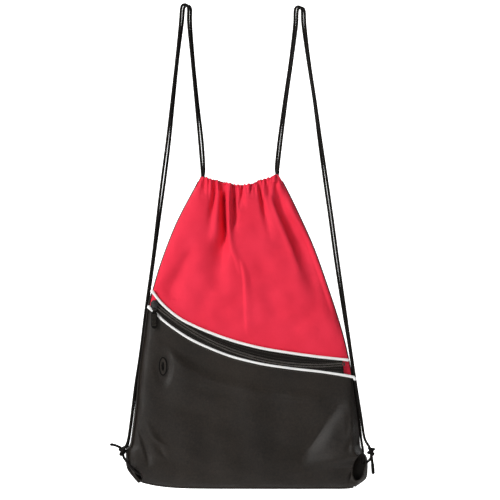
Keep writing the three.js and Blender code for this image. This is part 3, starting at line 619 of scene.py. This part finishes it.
POCKET_FOLDS = [
    [[132, 154, 0, 12, 8], [120, 122, 4.0, 20, 12], [103, 94, 7.0, 26, 15], [86, 68, 7.0, 28, 16],
     [72, 46, 4.0, 24, 16], [66, 24, 0, 18, 14]],
    [[-162, 88, 0, 2.5, 4], [-157, 78, 1.6, 3, 5], [-151, 62, 2.4, 3, 6], [-147, 46, 2.2, 3, 6],
     [-146, 30, 0, 3, 6]],
    [[-150, 100, 0, 4, 5], [-143, 84, -1.8, 4, 6], [-134, 70, -2.2, 4, 6], [-122, 62, 0, 4, 6]],
    [[-134, 70, 0, 5, 4], [-128, 56, 1.5, 5, 4], [-121, 44, 0, 5, 4]],
    [[147, 31, 0, 2.5, 3], [143.5, 20, 3.0, 2.5, 4], [140, 7, 0, 2.5, 4]],
    [[166, 27, -1, 3], [163, 20, -4, 4], [156, 11, -3, 4], [150, 5, 0, 4]],
    [[-100, 205, 0, 16], [-92, 160, -2.0, 20], [-84, 110, 0, 22]],
    [[-40, 176, 0, 14], [-46, 120, 1.4, 20], [-50, 60, 0, 20]],
    [[40, 150, 0, 18], [30, 90, 1.2, 24], [22, 40, 0, 22]],
    [[140, 118, 0, 4], [141, 96, 1.2, 4, 5], [140, 78, 0, 4]],
    [[152, 92, 0, 3, 4], [144, 70, 1.5, 4], [138, 52, 0, 4]],
]
BACK_FOLDS = [
    [[-58, 425, 4, 4], [-66, 380, 4, 7, 6], [-82, 320, 2, 12, 10], [-98, 250, 0, 14]],
    [[-40, 422, 5, 3.4, 4], [-44, 380, 5, 6], [-50, 320, 3, 10, 12], [-56, 240, 0, 14]],
    [[-24, 420, 5, 3], [-23, 385, 4, 5], [-20, 330, 2, 9], [-16, 270, 0, 12]],
    [[-6, 420, 6, 4, 3], [-4, 380, 6, 6, 5], [2, 320, 4, 12, 9], [12, 230, 1, 16, 14], [18, 170, 0, 18]],
    [[10, 424, 4, 3, 4], [16, 385, 4, 5, 6], [26, 330, 2, 8, 10], [36, 270, 0, 12]],
    [[24, 428, 5, 3.4], [34, 385, 4, 6], [50, 330, 2, 10], [66, 270, 0, 14]],
    [[-130, 140, 0, 14], [-100, 100, 2.5, 16], [-70, 60, 0, 16]],
    [[120, 170, 0, 14], [96, 120, 2.5, 16], [80, 70, 0, 16]],
    [[-30, 150, 0, 18], [-6, 100, 1.8, 20], [14, 50, 0, 18]],
]


def folds(x, z, lines):
    """The sum of the folds' depths at x and z."""
    total = np.zeros_like(x)
    for line in lines:
        fold = curve_through([[*row, row[3]][:5] for row in line], 3.0)[::-1]
        height = fold[:, 1]
        middle, depth, left, right = (np.interp(z, height, fold[:, k]) for k in (0, 2, 3, 4))
        offset = x - middle
        near = np.exp(-(offset / np.where(offset < 0, left, right)) ** 2)
        total += depth * near * (z > height[0] - 1) * (z < height[-1] + 8)
    return total


def hem_ruffle(x, below, seed):
    """Small uneven gathers that fade with the distance below the top edge."""
    chance = random.Random(seed)
    total = np.zeros_like(x)
    middle = HEM_LEFT
    while middle < HEM_RIGHT:
        width, depth = chance.uniform(1.2, 2.2), chance.uniform(2.0, 5.5)
        run, lean = chance.uniform(0.5, 1.5) * GATHER_REACH, chance.uniform(-0.15, 0.15)
        offset = x - middle - lean * below
        fade = np.clip(1.0 - below / run, 0.0, 1.0)
        total += depth * fade * np.exp(-(offset / (width * (1 + below / 30.0))) ** 2)
        middle += chance.uniform(3.2, 6.2)
    return total


def rumple(x, z, seed, scale, amount):
    """Soft uneven waves in every direction."""
    chance = random.Random(seed)
    total = np.zeros_like(x)
    for _ in range(9):
        way, length = chance.uniform(0, math.pi), scale * chance.uniform(0.6, 1.6)
        total += np.sin((x * math.cos(way) + z * math.sin(way)) * 2 * math.pi / length
                        + chance.uniform(0, 2 * math.pi) + 1.5 * np.sin(z / scale + chance.uniform(0, 6)))
    return total * amount / 3.0


def edge_distance(x, z):
    return np.minimum(x - LEFT_EDGE.x_at(z), RIGHT_EDGE.x_at(z) - x)


def front_surface(x, z):
    """Y of the red front."""
    edge = edge_distance(x, z)
    above = z - UPPER_LINE.z_at(x)
    billow = 4.0 * smoothstep(0, 70, above) * (1 - smoothstep(400, 450, z))
    y = SEAM_Y - (4.2 + billow) * (1.0 - np.exp(-np.maximum(edge, 0) / 6.0))
    y = y + 2.5 * (1 - smoothstep(-60, -25, above))
    creases = folds(x, z, FRONT_FOLDS) + rumple(x, z, 5, 42.0, 0.8)
    y = y + creases * smoothstep(2, 26, above) * smoothstep(0, 9, edge)
    below = np.maximum(TOP_EDGE.z_at(x) - z, 0)
    in_hem = 1 - smoothstep(12, 20, below)
    y = y - 4.0 * (1 - smoothstep(10, 34, below)) * smoothstep(0, 6, edge)
    y = y + hem_ruffle(x, below, FRONT_SEED) * smoothstep(-1, 6, edge)
    return np.where(in_hem > 0, np.minimum(y, HEM_FACE_Y * in_hem + y * (1 - in_hem)), y)


def corner_facet(x, z):
    """The tight triangle of cloth at the lower right, that lifts away from its upper left side."""
    reach = (x - 146) * 0.862 - (z - 140) * 0.506
    low = 38 + (x - 85) * 0.12
    lift = 12.0 * smoothstep(-8, 54, reach) * smoothstep(-14, 4, z - low)
    return lift * smoothstep(2, 12, edge_distance(x, z))


def zipper_lane(x, z):
    """How close a point is to the lane that the slider and its pull sweep: 1 in it, 0 clear of it."""
    return 1.0 - smoothstep(26, 46, LOWER_LINE.z_at(x) - z)


def pocket_surface(x, z):
    """Y of the black pocket."""
    edge = np.minimum(edge_distance(x, z), np.maximum(z - BOTTOM_EDGE.z_at(x) - 1.5, 0) * 1.2)
    lane = zipper_lane(x, z)
    y = SEAM_Y - 8.2 * (1.0 - np.exp(-np.maximum(edge, 0) / 5.0))
    billow = 3.0 * smoothstep(0, 60, edge_distance(x, z)) * (1 - lane) * smoothstep(0, 40, z)
    creases = (folds(x, z, POCKET_FOLDS) + rumple(x, z, 8, 58.0, 0.7)) * (1 - 0.75 * lane)
    y = y - billow + creases * smoothstep(1, 8, edge) - corner_facet(x, z) * (1 - lane)
    round_port = 1.0 - smoothstep(1.5, 3.2, oval_share(x, z, PORT_CUT))
    y = y * (1 - round_port) + POCKET_Y * round_port
    return np.maximum(y, POCKET_Y - 14.5 * (1 - lane))


def back_surface(x, z):
    """Y of the black back: a soft bulge that is flat in the middle, with folds and gathers."""
    left, right = LEFT_EDGE.x_at(z), RIGHT_EDGE.x_at(z)
    share = np.abs((x - (left + right) / 2) / (right - left) * 2)
    depth = np.where(z < 90, 28 * np.sin(np.clip((z - 1.5) / 88.5, 0, 1) * math.pi / 2),
                     28 - 15 * smoothstep(0, 1, np.clip((z - 200) / 223.5, 0, 1)))
    round_off = np.cos(np.clip((share - 0.5) / 0.5, 0, 1) * math.pi / 2)
    edge = edge_distance(x, z)
    creases = folds(x, z, BACK_FOLDS) + rumple(x, z, 11, 46.0, 1.2)
    y = -4.0 + depth * round_off - creases * smoothstep(0, 14, edge) * smoothstep(0, 20, z)
    return y - hem_ruffle(x, np.maximum(TOP_EDGE.z_at(x) - z, 0), BACK_SEED) * smoothstep(-1, 6, edge)


# ---- cloth panels
def panel_grid(columns, rows, top_line, bottom, inset=0.0, rise=np.zeros_like, dense=1.0):
    """x and z of a grid between the bag's side edges, from bottom above its lower edge to the top line."""
    share = np.linspace(0, 1, columns)
    up = 1 - (1 - np.linspace(0, 1, rows)) ** dense
    low = np.full(columns, bottom)
    ends = top_line.points[0, 0] + share * (top_line.points[-1, 0] - top_line.points[0, 0])
    top = top_line.z_at(ends) + rise(ends)
    for _ in range(6):
        z = low[None, :] + up[:, None] * (top - low)[None, :]
        left, right = LEFT_EDGE.x_at(z) + inset, RIGHT_EDGE.x_at(z) - inset
        x = left + share[None, :] * (right - left)
        top = top_line.z_at(x[-1]) + rise(x[-1])
        low = BOTTOM_EDGE.z_at(x[0]) + bottom
    return x, z


def hem_rows(edge, way):
    """Rows that carry a panel's top edge over and down the inner side of the cords, as the hem tunnel.
    way is -1 for the front and 1 for the back."""
    x, y, z = edge.T
    low, inner = z - HEM_DEPTH, way * (CHANNEL_Y - HEM_DEPTH)
    rows = []
    for angle in np.radians(range(30, 181, 30)):
        share = (1 - math.cos(angle)) / 2
        row = [x, y * (1 - share) + inner * share, low + HEM_DEPTH * math.sin(angle)]
        rows.append(np.stack(row, axis=1))
    for _ in range(2):
        rows.append(rows[-1] - np.array([0, 0, HEM_DROP / 2]))
    return rows


def cloth_panel(name, x, z, surface, material, holes=(), way=0):
    """A cloth sheet over a grid, with real openings in it, and a hem tunnel if way isn't 0."""
    inside = np.zeros(x.shape, bool)
    for oval in holes:
        share = oval_share(x, z, oval)
        within = share < 1
        inside |= within
        push = np.where(within & (share > 0.5), 1.0 / np.maximum(share, 1e-3), 1.0)
        x, z = oval[0] + (x - oval[0]) * push, oval[1] + (z - oval[1]) * push
    points = np.stack([x, surface(x, z), z], axis=2)
    if way:
        hem = np.array(hem_rows(points[-2], way))
        points = np.concatenate([points[:-1], hem])
        inside = np.concatenate([inside[:-1], np.zeros(hem.shape[:2], bool)])
    flat = inside.ravel()
    faces = [f for f in grid_faces(*points.shape[:2]) if not all(flat[i] for i in f)]
    used = sorted({i for f in faces for i in f})
    renumber = {old: new for new, old in enumerate(used)}
    faces = [tuple(renumber[i] for i in f) for f in faces]
    vertices = place(points).reshape(-1, 3)[used]
    obj = new_object(name, vertices, faces, material, sheet_uvs(points)[used])
    thicken(obj)
    return obj


def panels():
    def front_rise(x):
        return 1.4 - 0.62 * hem_ruffle(x, 0 * x, FRONT_SEED)

    def back_rise(x):
        return 1.0 - 0.3 * hem_ruffle(x, 0 * x, BACK_SEED)

    # the black sheet behind the pocket is painted shade, for the dark inside of the port's slot
    def shade_sheet_surface(x, z):
        return -12.9 + 1.2 * (1 - smoothstep(0, 14, np.minimum(edge_distance(x, z) - 8, z)))

    holes = [grown(RIGHT_OPENING, 10.0), grown(LEFT_OPENING, 8.0)]
    x, z = panel_grid(420, 270, TOP_EDGE, 5.5, inset=0.8, rise=front_rise, dense=1.25)
    front = cloth_panel("front_cloth", x, z, front_surface, RED, holes, -1)
    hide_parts("front_panel", "front_hem_channel")

    x, z = panel_grid(260, 220, TOP_EDGE, 3.0, rise=back_rise, dense=1.25)
    back = cloth_panel("back_cloth", x, z, back_surface, BLACK, way=1)
    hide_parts("back_panel", "back_hem_channel")

    top = Line([[x0, z0 - 1.2] for x0, z0 in LOWER_PIPING[:-1]] + [[150, 158]])
    x, z = panel_grid(400, 230, top, 2.0, inset=0.4)
    holes = [RIGHT_OPENING, LEFT_OPENING, PORT_CUT]
    pocket = cloth_panel("pocket_cloth", x, z, pocket_surface, BLACK, holes)
    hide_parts("pocket_panel")

    # painted shade: a black sheet behind the pocket, with no part in the CAD, keeps the port's slot dark
    # instead of showing the red front
    x, z = panel_grid(120, 90, Line([[x0, z0 - 2.5] for x0, z0 in UPPER_PIPING]), 8.0, inset=11.0)
    holes = [grown(RIGHT_OPENING, 3.0), grown(LEFT_OPENING, 3.0)]
    shade_sheet = cloth_panel("pocket_shade_sheet", x, z, shade_sheet_surface, BLACK, holes)


panels()


# ---- stitches and seams
def stitch_pieces(line, pitch, length, radius):
    """Short threads along a line, with their ends 0.35 mm behind their middles."""
    path = curve_through(line, 0.5)
    gone = distance_along(path)
    pieces = []
    for start in np.arange(0, gone[-1] - length, pitch):
        stops = np.linspace(start, start + length, 5)
        points = np.stack([np.interp(stops, gone, path[:, k]) for k in range(3)], axis=1)
        points[:, 1] += np.array([0.35, 0.05, 0, 0.05, 0.35])
        pieces.append(tube_mesh(points, radius, sides=6))
    return pieces


def on_surface(surface, x, z, lift):
    return np.stack([x, surface(x, z) - lift, z], axis=1)


def seams():
    x = np.linspace(-72, 42, 300)
    z = TOP_EDGE.z_at(x) - 13.0
    keep = edge_distance(x, z) > 1.5
    x, z = x[keep], z[keep]
    front = on_surface(front_surface, x, z, 0.15)
    merged("front_hem_stitches", stitch_pieces(front, 2.6, 1.8, 0.25), RED_THREAD)
    back = on_surface(back_surface, x, z + 2, -0.45)
    merged("back_hem_stitches", stitch_pieces(back, 2.6, 1.8, 0.25), BLACK_THREAD)

    for side, edge, way, bottom in (("left", LEFT_EDGE, 1, 10), ("right", RIGHT_EDGE, -1, 4)):
        z = np.linspace(bottom, 440, 260)
        outward = 1.8 * (1 - smoothstep(262, 285, z)) * (way > 0)
        x, radius = edge.x_at(z) + way * (0.6 - outward), 1.5 + 0.4 * outward
        roll = curve_through(np.stack([x, np.full_like(x, ROLL_Y), z, radius], axis=1), 1.6)
        vertices, faces, uvs = tube_mesh(roll[:, :3], roll[:, 3])
        vertices[:, 1] = ROLL_Y + (vertices[:, 1] - ROLL_Y) * 1.7
        seam = new_object(f"{side}_seam_roll", place(vertices), faces, BLACK, uvs)
        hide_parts(f"{side}_side_seam")
    x = np.linspace(-158.5, 147, 200)
    roll = np.stack([x, np.full_like(x, -8.3), BOTTOM_EDGE.z_at(x) + 2.2], axis=1)
    seam = tube_object("bottom_seam_roll", roll, 2.2, BLACK, "black_cloth", sides=12)
    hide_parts("bottom_seam")
    x = np.linspace(-136, 139, 200)
    row = on_surface(pocket_surface, x, BOTTOM_EDGE.z_at(x) + 7.5, 0.15)
    merged("bottom_stitches", stitch_pieces(row, 3.2, 2.2, 0.26), BLACK)


seams()


# ---- piping and zipper
ARC_X, ARC_Z, ARC_R = 95.0, 527.0, 350.0                 # the zipper's arc: its centre and radius
ARC_LEFT, ARC_RIGHT, SLIDER_ANGLE = -42.0, 6.1, -41.6    # in degrees from straight down


def arc_point(degrees, radius):
    a = np.radians(degrees)
    return np.stack([ARC_X + radius * np.sin(a), ARC_Z - radius * np.cos(a)], axis=-1)


def arc_radius(line, degrees):
    """The piping's distance from the zipper arc's centre at each angle."""
    p = line.points - np.array([ARC_X, ARC_Z])
    return np.interp(degrees, np.degrees(np.arctan2(p[:, 0], -p[:, 1])), np.linalg.norm(p, axis=1))


def at_depth(line, y):
    """An X-Z line's points with their Y, one for all of them or one for each."""
    return np.stack([line[:, 0], np.full(len(line), y), line[:, 1]], axis=1)


def piping():
    lower = LOWER_PIPING[:-1] + [[144, 161.2], [148.2, 159.8], [149.6, 156.6]]
    for name, line, flange, blob, surface, thread, slot in (
            ("upper_piping", UPPER_PIPING, 1, 0.3, front_surface, RED_THREAD, "red_cloth"),
            ("lower_piping", lower, -1, 0.7, pocket_surface, BLACK_THREAD, "black_cloth")):
        path = at_depth(curve_through(line, 1.5), PIPING_Y)
        radius = PIPING_RADIUS + 0.3 + blob * (1 - smoothstep(0, 6, np.arange(len(path))))
        cord = tube_object(f"{name}_cord", path, radius, WHITE, "white_piping",
                           sides=14, relief=0.1, carriers=5, pitch=3.0)
        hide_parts(name)
        beside = curve_through([[px, pz + flange * 3.4] for px, pz in line[1:-1]], 2.0)
        row = at_depth(beside, surface(beside[:, 0], beside[:, 1]) - 0.45)
        merged(f"{name}_stitches", stitch_pieces(row, 3.0, 2.0, 0.24), thread)


def zipper():
    degrees = np.linspace(ARC_LEFT, ARC_RIGHT, 220)
    shares = np.array([0, 0.12, 0.3, 0.44, 0.5, 0.56, 0.64, 0.8, 1.0])
    ribs = np.array([-15.3, -15.35, -15.3, -15.3, -15.75, -15.75, -15.35, -15.4, -15.6])
    tooth = ((2.45, -16.0, -0.04), (2.3, -17.0, -0.03), (1.5, -17.3, 0), (0.85, -17.0, 0.03),
             (0.78, -16.5, 0.04), (1.0, -16.0, 0.05))        # from the arc, Y, and degrees along it
    for name, line, side in (("upper", UPPER_LINE, -1), ("lower", LOWER_LINE, 1)):
        inner = ARC_R + side * 0.7
        width = arc_radius(line, degrees) - side * 1.2 - inner
        radius = inner + shares[:, None] * width[None, :]
        xz = arc_point(degrees[None, :], radius)
        points = np.stack([xz[..., 0], np.broadcast_to(ribs[:, None], radius.shape), xz[..., 1]], axis=2)
        tape = grid_object(f"{name}_tape_woven", points[::-side], TAPE)
        thicken(tape)
        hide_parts(f"{name}_zipper_tape")
        for share in (0.36, 0.72):
            row = at_depth(arc_point(degrees, inner + share * width)[2:-2], -15.65)
            merged(f"{name}_tape_stitches_{int(share * 100)}", stitch_pieces(row, 2.6, 1.9, 0.22),
                   BLACK_THREAD)
        teeth = []
        for angle in np.arange(ARC_LEFT + 0.15, ARC_RIGHT - 0.1, 0.205):
            turn = angle + (0.1 if side > 0 else 0.0)
            loop = [np.insert(arc_point(turn + lead, ARC_R + side * r), 1, y) for r, y, lead in tooth]
            teeth.append(tube_mesh(curve_through(loop, 0.55), 0.36, sides=6))
        coil = merged(f"{name}_coil_teeth", teeth, COIL)
        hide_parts(f"{name}_zipper_coil")


piping()
zipper()


# ---- cut pieces with round edges
def cut_piece(name, outline, y_front, y_back, holes, bevel, material,
              body=BODY, middle=(0, 0), turn=0.0):
    """A plate of an X-Z outline with rounded edges."""
    data = bpy.data.curves.new(name, "CURVE")
    data.dimensions = "2D"
    data.fill_mode = "BOTH"
    data.extrude = (y_back - y_front) / 2 - bevel
    data.bevel_depth = bevel
    data.bevel_resolution = 2
    data.offset = -bevel
    for line in (outline, *holes):
        spline = data.splines.new("POLY")
        spline.points.add(len(line) - 1)
        for point, (px, pz) in zip(spline.points, line):
            point.co = (px, pz, 0, 1)
        spline.use_cyclic_u = True
    holder = bpy.data.objects.new(name + "_outline", data)
    bpy.context.scene.collection.objects.link(holder)
    shaped = bpy.data.meshes.new_from_object(holder.evaluated_get(bpy.context.evaluated_depsgraph_get()))
    bpy.data.objects.remove(holder)
    c, s = cos_sin(turn)
    flat = np.array([v.co for v in shaped.vertices])
    points = np.stack([middle[0] + flat[:, 0] * c + flat[:, 1] * s, (y_front + y_back) / 2 - flat[:, 2],
                       middle[1] - flat[:, 0] * s + flat[:, 1] * c], axis=1)
    faces = [tuple(p.vertices) for p in shaped.polygons]
    uvs = flat[:, :2] / 1000.0
    bpy.data.meshes.remove(shaped)
    obj = new_object(name, place(points), faces, material, uvs, smooth=False, body=body)
    obj.data.shade_smooth()
    obj.data.set_sharp_from_angle(angle=math.radians(35))
    return obj


def circle(radius):
    return [[radius * math.cos(a), radius * math.sin(a)] for a in angles_round(28)]


def box(left, right, low, high):
    return [[left, low], [right, low], [right, high], [left, high]]


def rounded(points, step=0.5):
    """A closed outline through the points with soft corners."""
    return curve_through([*points, points[0]], step)[:-1].tolist()


PULL_DROP = 8.4            # from the slider's middle down to the pull's hinge


def slider():
    at = arc_point(SLIDER_ANGLE, ARC_R).tolist()
    plate = rounded([[-5, -2.4], [-3, -4.0], [0, -4.05], [3, -4.0], [5, -2.6], [5.1, 0], [5, 2.6], [3, 4.0],
                     [0, 4.05], [-3, 4.0], [-5, 2.4], [-5.1, 0]])
    parts = [
        cut_piece(f"slider_{name}", outline, y_front, y_back, [], bevel, METAL,
                  "slider", at, -SLIDER_ANGLE)
        for name, outline, y_front, y_back, bevel in (
            ("top_plate", plate, -18.6, -17.7, 0.3),
            ("bottom_plate", plate, -14.2, -13.4, 0.25),
            ("post", box(-4.4, -1.6, -0.4, 0.4), -17.9, -14.0, 0.1),
            ("upper_flange", box(-3, 3, 3, 4.05), -17.9, -16.0, 0.2),
            ("lower_flange", box(-3, 3, -4.05, -3), -17.9, -16.0, 0.2),
            ("stud", circle(1.45), -20.7, -18.4, 0.1),
            ("stud_head", circle(2.4), -21.2, -20.45, 0.3))]
    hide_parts("zipper_slider")

    low = -PULL_DROP
    outline = rounded([[-3.3, 0.4], [-2.3, 2.3], [0, 3.25], [2.3, 2.3], [3.3, 0.4], [3.3, -4.5],
                       [3.2, low - 0.2], [2.6, low - 0.55], [-2.6, low - 0.55], [-3.2, low - 0.2],
                       [-3.3, -4.5]], 0.4)
    holes = [circle(1.75), box(-2.2, 2.2, low + 0.55, low + 3.1)]
    link = cut_piece("swivel_link", outline, -20.2, -19.0, holes, 0.25, METAL, "link", at)
    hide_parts("pull_link")


def pull():
    """The rubber pull, its grip ribs, and the eye that hangs in the link's window."""
    x, z = arc_point(SLIDER_ANGLE, ARC_R) - np.array([0, PULL_DROP])
    tab = rounded([[-1.8, -1.7], [1.8, -1.7], [3.4, -3.7], [4.15, -5.6], [4.2, -14], [4.15, -23.6],
                   [2.8, -26.2], [0, -27], [-2.8, -26.2], [-4.15, -23.6], [-4.2, -14], [-4.15, -5.6],
                   [-3.4, -3.7]], 0.6)
    flap = cut_piece("pull_tab", tab, -20.4, -18.8, [], 0.45, DARK_RUBBER, "pull", (x, z))
    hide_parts("zipper_pull")
    ribs = []
    for drop in np.arange(7.2, 23.5, 1.9):
        rib = [[x + dx, y, z - drop] for dx, y in ((-2.9, -20.25), (0, -20.45), (2.9, -20.25))]
        ribs.append(tube_mesh(curve_through(rib, 0.8), 0.42, sides=8))
    merged("pull_grip_ribs", ribs, RUBBER, "pull")
    widths = (-1.8, -1.6, 1.6, 1.8)
    rings = [*((dx, 1.62) for dx in widths), *((dx, 1.1664) for dx in widths[::-1]), (widths[0], 1.62)]
    eye = [[(x + dx, -19.6 + radius * math.sin(a), z + radius * math.cos(a)) for a in angles_round(29)]
           for dx, radius in rings]
    grid_object("pull_eye", np.array(eye), RUBBER, wrap=True, body="pull")


def end_stop():
    degrees = np.array([6.18, 6.37, 6.55])
    outline = [*arc_point(degrees, ARC_R - 2.6), *arc_point(degrees[::-1], ARC_R + 2.6)]
    stopper = cut_piece("end_stop_clamp", outline, -17.4, -15.6, [], 0.3, METAL)
    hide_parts("zipper_end_stop")


slider()
pull()
end_stop()


# ---- earphone port and corner openings
def port_ring(name, y_front, y_back, outer, inner, bevel, material):
    outline, hole = (oval_line((*PORT_CUT[:2], *half_sizes, 0)) for half_sizes in (outer, inner))
    return cut_piece(name, outline, y_front, y_back, [hole], bevel, material)


def port():
    # the flange's very dark rubber is painted shade: the shadowed groove round the port
    flange = port_ring("port_flange", -18.0, -16.4, (6.0, 13.4), (4.5, 11.6), 0.5, DARK_RUBBER)
    port_ring("port_sleeve", -17.0, -13.6, (4.9, 10.4), (3.6, 9.1), 0.3, RUBBER)
    backing = port_ring("port_backing_ring", -14.3, -13.5, (6.0, 13.4), (5.1, 10.6), 0.2, RUBBER)
    port_ring("port_lips", -17.3, -16.4, (4.8, 11.7), (2.2, 6.4), 0.35, RUBBER)
    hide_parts("earphone_port")
    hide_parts("earphone_port_backing")


def corner(name, oval, radius):
    """A bound edge round an opening, with stitches through it."""
    ring = oval_line(grown(oval, radius * 0.7), 96)
    path = np.concatenate([ring, ring[:1]])
    line = on_surface(pocket_surface, path[:, 0], path[:, 1], 0.5)
    binding = tube_object(f"{name}_binding_roll", line, radius, BLACK, "black_cloth")
    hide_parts(f"{name}_binding")
    outer = oval_line(grown(oval, radius * 2.6), 96)
    outer = outer[edge_distance(outer[:, 0], outer[:, 1]) > 1.5]
    row = on_surface(pocket_surface, outer[:, 0], outer[:, 1], 0.2)
    gaps = np.linalg.norm(np.diff(row, axis=0), axis=1)
    start = int(np.argmax(gaps)) + 1 if gaps.max() > 6 else 0
    row = np.concatenate([row[start:], row[:start]])
    merged(f"{name}_binding_stitches", stitch_pieces(row, 2.8, 1.9, 0.24), BLACK_THREAD)


port()
corner("right_corner", RIGHT_OPENING, 1.1)
corner("left_corner", LEFT_OPENING, 0.9)
